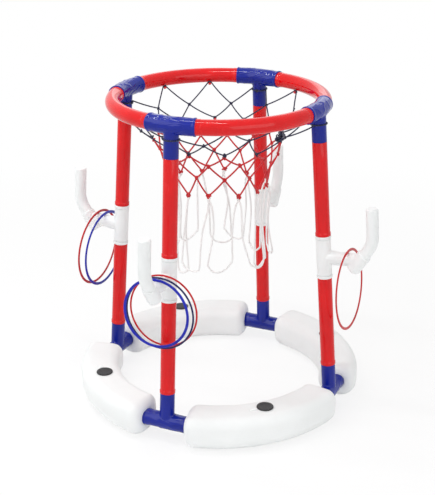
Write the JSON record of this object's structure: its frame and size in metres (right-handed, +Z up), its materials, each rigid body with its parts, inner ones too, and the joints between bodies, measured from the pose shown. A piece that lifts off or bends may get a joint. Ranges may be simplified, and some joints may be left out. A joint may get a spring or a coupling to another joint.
{
  "type": "floating hoop and ring toss stand",
  "caption": "Round net hoop on four tube legs over a ring of hollow floats, with side hooks and thin toss rings.",
  "frame": {"origin": "ground under the middle of the base ring", "axes": "+Z up; the front leg stands on -Y, the left leg on -X, the back leg on +Y, the right leg on +X"},
  "size_m": [0.6518, 0.6518, 0.623],
  "materials": {
    "white_float": "semi-gloss blow-moulded polyethylene",
    "white_fitting": "semi-gloss moulded polyethylene",
    "grey_plug": "matt soft plug",
    "blue_fitting": "glossy blow-moulded polyethylene",
    "red_tube": "glossy extruded tube",
    "blue_cord": "twisted polyester cord",
    "red_cord": "twisted polyester cord",
    "white_cord": "twisted polyester cord",
    "ring_red": "glossy moulded ring",
    "ring_blue": "glossy moulded ring",
    "ring_navy": "glossy moulded ring"
  },
  "bodies": {
    "frame": {"float_1": "white_float", "rim_tube_1": "red_tube", "float_2": "white_float", "rim_tube_2": "red_tube", "float_3": "white_float", "rim_tube_3": "red_tube", "float_4": "white_float", "rim_tube_4": "red_tube", "base_tee_front": "blue_fitting", "lower_leg_front": "red_tube", "upper_leg_front": "red_tube", "rim_tee_front": "blue_fitting", "base_tee_left": "blue_fitting", "lower_leg_left": "red_tube", "upper_leg_left": "red_tube", "rim_tee_left": "blue_fitting", "base_tee_back": "blue_fitting", "lower_leg_back": "red_tube", "upper_leg_back": "red_tube", "rim_tee_back": "blue_fitting", "base_tee_right": "blue_fitting", "lower_leg_right": "red_tube", "upper_leg_right": "red_tube", "rim_tee_right": "blue_fitting", "net_blue_band": "blue_cord", "net_red_band": "red_cord", "net_white_loops": "white_cord"},
    "hook_front": {"hook_tee_front": "white_fitting", "hook_tube_front": "white_fitting"},
    "hook_left": {"hook_tee_left": "white_fitting", "hook_tube_left": "white_fitting"},
    "hook_back": {"hook_tee_back": "white_fitting", "hook_tube_back": "white_fitting"},
    "hook_right": {"hook_tee_right": "white_fitting", "hook_tube_right": "white_fitting"},
    "plug_1": {"filler_plug_1": "grey_plug"},
    "plug_2": {"filler_plug_2": "grey_plug"},
    "plug_3": {"filler_plug_3": "grey_plug"},
    "plug_4": {"filler_plug_4": "grey_plug"},
    "ring_front_red": {"toss_ring_front_red": "ring_red"},
    "ring_front_navy": {"toss_ring_front_navy": "ring_navy"},
    "ring_front_blue": {"toss_ring_front_blue": "ring_blue"},
    "ring_left_blue": {"toss_ring_left_blue": "ring_blue"},
    "ring_left_red": {"toss_ring_left_red": "ring_red"},
    "ring_right_red": {"toss_ring_right_red": "ring_red"}
  },
  "joints": [
    {"name": "hook_front_swivel", "type": "hinge", "parent": "frame", "child": "hook_front", "pos_m": [0, -0.22, 0.3214], "axis": [0, 0.0702, 0.9975], "range_deg": [-90, 90]},
    {"name": "hook_left_swivel", "type": "hinge", "parent": "frame", "child": "hook_left", "pos_m": [-0.22, 0, 0.3214], "axis": [0.0702, 0, 0.9975], "range_deg": [-90, 90]},
    {"name": "hook_back_swivel", "type": "hinge", "parent": "frame", "child": "hook_back", "pos_m": [0, 0.22, 0.3214], "axis": [0, -0.0702, 0.9975], "range_deg": [-90, 90]},
    {"name": "hook_right_swivel", "type": "hinge", "parent": "frame", "child": "hook_right", "pos_m": [0.22, 0, 0.3214], "axis": [-0.0702, 0, 0.9975], "range_deg": [-90, 90]},
    {"name": "plug_1_pull", "type": "slide", "parent": "frame", "child": "plug_1", "axis": [0, 0, 1], "range_m": [0, 0.025]},
    {"name": "plug_2_pull", "type": "slide", "parent": "frame", "child": "plug_2", "axis": [0, 0, 1], "range_m": [0, 0.025]},
    {"name": "plug_3_pull", "type": "slide", "parent": "frame", "child": "plug_3", "axis": [0, 0, 1], "range_m": [0, 0.025]},
    {"name": "plug_4_pull", "type": "slide", "parent": "frame", "child": "plug_4", "axis": [0, 0, 1], "range_m": [0, 0.025]},
    {"name": "ring_front_red_swing", "type": "hinge", "parent": "hook_front", "child": "ring_front_red", "pos_m": [0, -0.24195, 0.32294], "axis": [0, -0.9975, 0.0702], "range_deg": [-45, 45]},
    {"name": "ring_front_navy_swing", "type": "hinge", "parent": "hook_front", "child": "ring_front_navy", "pos_m": [0, -0.25691, 0.32399], "axis": [0, -0.9975, 0.0702], "range_deg": [-45, 45]},
    {"name": "ring_front_blue_swing", "type": "hinge", "parent": "hook_front", "child": "ring_front_blue", "pos_m": [0, -0.27187, 0.32505], "axis": [0, -0.9975, 0.0702], "range_deg": [-45, 45]},
    {"name": "ring_left_blue_swing", "type": "hinge", "parent": "hook_left", "child": "ring_left_blue", "pos_m": [-0.25791, 0, 0.32406], "axis": [-0.9975, 0, 0.0702], "range_deg": [-45, 45]},
    {"name": "ring_left_red_swing", "type": "hinge", "parent": "hook_left", "child": "ring_left_red", "pos_m": [-0.27387, 0, 0.32519], "axis": [-0.9975, 0, 0.0702], "range_deg": [-45, 45]},
    {"name": "ring_right_red_swing", "type": "hinge", "parent": "hook_right", "child": "ring_right_red", "pos_m": [0.26888, 0, 0.32484], "axis": [0.9975, 0, 0.0702], "range_deg": [-45, 45]}
  ]
}
